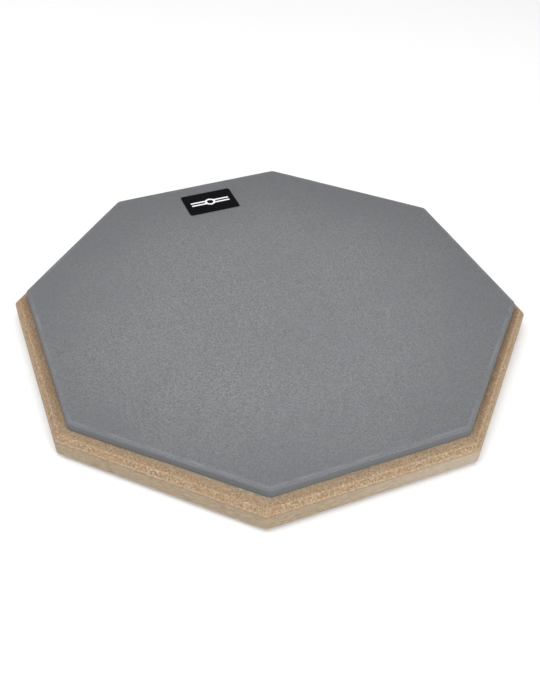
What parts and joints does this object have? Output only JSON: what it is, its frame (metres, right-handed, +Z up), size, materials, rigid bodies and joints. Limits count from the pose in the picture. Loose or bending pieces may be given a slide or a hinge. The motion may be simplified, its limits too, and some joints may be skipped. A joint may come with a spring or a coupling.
{
  "type": "drum practice pad",
  "caption": "Octagonal drum practice pad: a grey rubber playing face glued to a chamfered fibreboard base, with a small black label and a foam grip sheet underneath.",
  "frame": {"origin": "centre of the flat underside, on the surface the pad rests on", "axes": "+Z up, out of the playing face; -Y through one corner of the octagon, towards the player; the label is on the far side, left of +Y"},
  "size_m": [0.3046, 0.3046, 0.02],
  "materials": {
    "playing_rubber": "matt, finely speckled blue-grey",
    "fibreboard": "raw machined fibreboard, unsealed",
    "glue": "dried contact glue",
    "grip_foam": "matt black foam",
    "label_film": "satin black film",
    "label_ink": "matt white ink"
  },
  "bodies": {
    "root": {"grip_sheet": "grip_foam", "grip_glue": "glue", "base_board": "fibreboard", "pad_glue": "glue", "playing_pad": "playing_rubber", "label_glue": "glue", "label": "label_film", "label_mark": "label_ink"}
  },
  "joints": []
}
